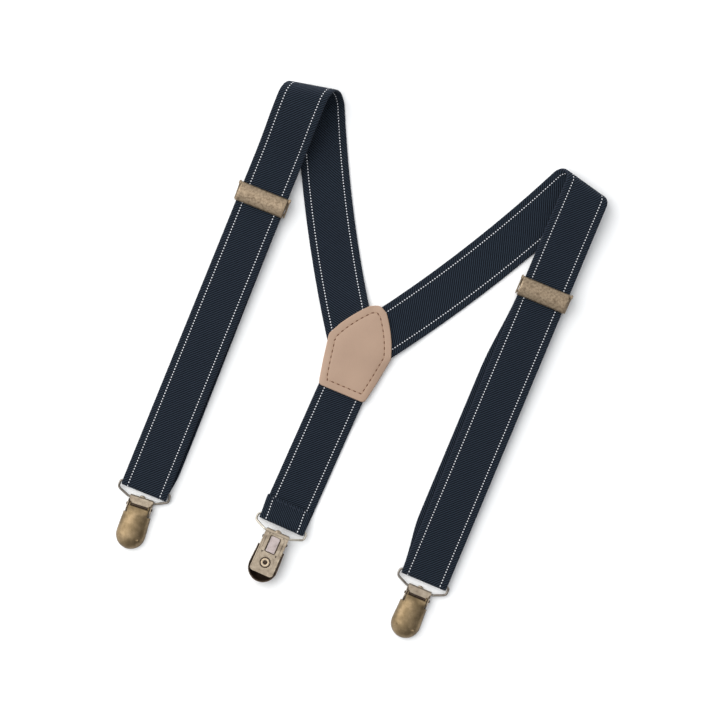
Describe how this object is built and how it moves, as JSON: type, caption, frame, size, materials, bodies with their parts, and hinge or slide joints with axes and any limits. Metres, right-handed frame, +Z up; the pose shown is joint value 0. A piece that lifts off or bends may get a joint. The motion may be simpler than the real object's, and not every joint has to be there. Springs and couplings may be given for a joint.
{
  "type": "suspenders",
  "caption": "Y-back elastic suspenders with a leather back patch, metal length adjusters and hinged clips on wire rings, laid out flat.",
  "frame": {"origin": "centre of the underside of the whole part as it lies on a table", "axes": "+Y from the clips to the shoulder folds, +X to the right, +Z up from the table"},
  "size_m": [0.1834, 0.2714, 0.0156],
  "materials": {
    "webbing": "twill elastic webbing with two dotted stripes",
    "leather": "smooth matt leather",
    "tan_thread": "sewing thread",
    "navy_thread": "sewing thread",
    "antique_brass": "antique, satin, with dark patina",
    "spring_steel": "satin",
    "jaw_plastic": "matt"
  },
  "bodies": {
    "back_yoke": {"outer_leather_patch": "leather", "inner_leather_patch": "leather", "patch_stitching": "tan_thread", "left_back_strap": "webbing", "right_back_strap": "webbing", "back_tail_strap": "webbing", "back_tail_tab": "webbing", "back_tail_stitching": "navy_thread", "left_shoulder_fold": "webbing", "right_shoulder_fold": "webbing"},
    "left_front": {"left_front_strap": "webbing", "left_shoulder_strap": "webbing", "left_ring_fold": "webbing", "left_return_strap": "webbing"},
    "left_adjuster": {"left_adjuster_frame": "antique_brass", "left_anchor_bar": "antique_brass", "left_gate_pins": "antique_brass", "left_return_end": "webbing", "left_return_stitching": "navy_thread"},
    "left_gate": {"left_adjuster_face": "antique_brass", "left_adjuster_teeth": "antique_brass"},
    "right_front": {"right_front_strap": "webbing", "right_shoulder_strap": "webbing", "right_ring_fold": "webbing", "right_return_strap": "webbing"},
    "right_adjuster": {"right_adjuster_frame": "antique_brass", "right_anchor_bar": "antique_brass", "right_gate_pins": "antique_brass", "right_return_end": "webbing", "right_return_stitching": "navy_thread"},
    "right_gate": {"right_adjuster_face": "antique_brass", "right_adjuster_teeth": "antique_brass"},
    "left_ring": {"left_ring": "antique_brass"},
    "left_clip": {"left_clip_plate": "antique_brass", "left_clip_spring": "spring_steel", "left_jaw_pad": "jaw_plastic", "left_clip_eyelet": "antique_brass", "left_clip_pin": "antique_brass"},
    "left_cover": {"left_clip_cover": "antique_brass"},
    "right_ring": {"right_ring": "antique_brass"},
    "right_clip": {"right_clip_plate": "antique_brass", "right_clip_spring": "spring_steel", "right_jaw_pad": "jaw_plastic", "right_clip_eyelet": "antique_brass", "right_clip_pin": "antique_brass"},
    "right_cover": {"right_clip_cover": "antique_brass"},
    "back_ring": {"back_ring": "antique_brass"},
    "back_clip": {"back_clip_plate": "antique_brass", "back_clip_spring": "spring_steel", "back_jaw_pad": "jaw_plastic", "back_clip_eyelet": "antique_brass", "back_clip_pin": "antique_brass"},
    "back_cover": {"back_clip_cover": "antique_brass"}
  },
  "joints": [
    {"name": "left_shoulder_unfold", "type": "hinge", "parent": "back_yoke", "child": "left_front", "pos_m": [-0.07345, 0.11697, 0.0078], "axis": [-0.9781, -0.2079, 0], "range_deg": [0, 150], "deforming": ["left_shoulder_fold"]},
    {"name": "left_adjuster_slide", "type": "slide", "parent": "left_front", "child": "left_adjuster", "axis": [-0.014, 0.9998, 0.0129], "range_m": [-0.045, 0.012], "deforming": ["left_return_strap"]},
    {"name": "left_adjuster_gate", "type": "hinge", "parent": "left_adjuster", "child": "left_gate", "pos_m": [-0.07727, 0.06337, 0.00751], "axis": [-0.9999, -0.014, 0], "range_deg": [0, 75]},
    {"name": "right_shoulder_unfold", "type": "hinge", "parent": "back_yoke", "child": "right_front", "pos_m": [0.07369, 0.12843, 0.0045], "axis": [-0.9744, 0.225, 0], "range_deg": [0, 150], "deforming": ["right_shoulder_fold"]},
    {"name": "right_adjuster_slide", "type": "slide", "parent": "right_front", "child": "right_adjuster", "axis": [0, 0.9999, 0.0131], "range_m": [-0.045, 0.012], "deforming": ["right_return_strap"]},
    {"name": "right_adjuster_gate", "type": "hinge", "parent": "right_adjuster", "child": "right_gate", "pos_m": [0.07727, 0.07447, 0.00751], "axis": [-1, 0, 0], "range_deg": [0, 75]},
    {"name": "left_ring_swing", "type": "hinge", "parent": "left_front", "child": "left_ring", "pos_m": [-0.07495, -0.10253, 0.00213], "axis": [0.9962, 0.0872, 0], "range_deg": [-75, 75]},
    {"name": "left_clip_swing", "type": "hinge", "parent": "left_ring", "child": "left_clip", "pos_m": [-0.07436, -0.10925, 0.00125], "axis": [-0.9962, -0.0872, 0], "range_deg": [-55, 55]},
    {"name": "left_cover_open", "type": "hinge", "parent": "left_clip", "child": "left_cover", "pos_m": [-0.07403, -0.11299, 0.00265], "axis": [-0.9962, -0.0872, 0], "range_deg": [0, 85]},
    {"name": "right_ring_swing", "type": "hinge", "parent": "right_front", "child": "right_ring", "pos_m": [0.07727, -0.08957, 0.00213], "axis": [1, 0, 0], "range_deg": [-75, 75]},
    {"name": "right_clip_swing", "type": "hinge", "parent": "right_ring", "child": "right_clip", "pos_m": [0.07727, -0.09631, 0.00125], "axis": [-1, 0, 0], "range_deg": [-55, 55]},
    {"name": "right_cover_open", "type": "hinge", "parent": "right_clip", "child": "right_cover", "pos_m": [0.07727, -0.10006, 0.00265], "axis": [-1, 0, 0], "range_deg": [0, 85]},
    {"name": "back_ring_swing", "type": "hinge", "parent": "back_yoke", "child": "back_ring", "pos_m": [-0.00193, -0.09195, 0.00213], "axis": [-0.9998, 0.0209, 0], "range_deg": [-75, 75]},
    {"name": "back_clip_swing", "type": "hinge", "parent": "back_ring", "child": "back_clip", "pos_m": [-0.00206, -0.09816, 0.0049], "axis": [0.9998, -0.0209, 0], "range_deg": [-55, 55]},
    {"name": "back_cover_open", "type": "hinge", "parent": "back_clip", "child": "back_cover", "pos_m": [-0.00214, -0.10191, 0.0035], "axis": [0.9998, -0.0209, 0], "range_deg": [0, 85]}
  ]
}
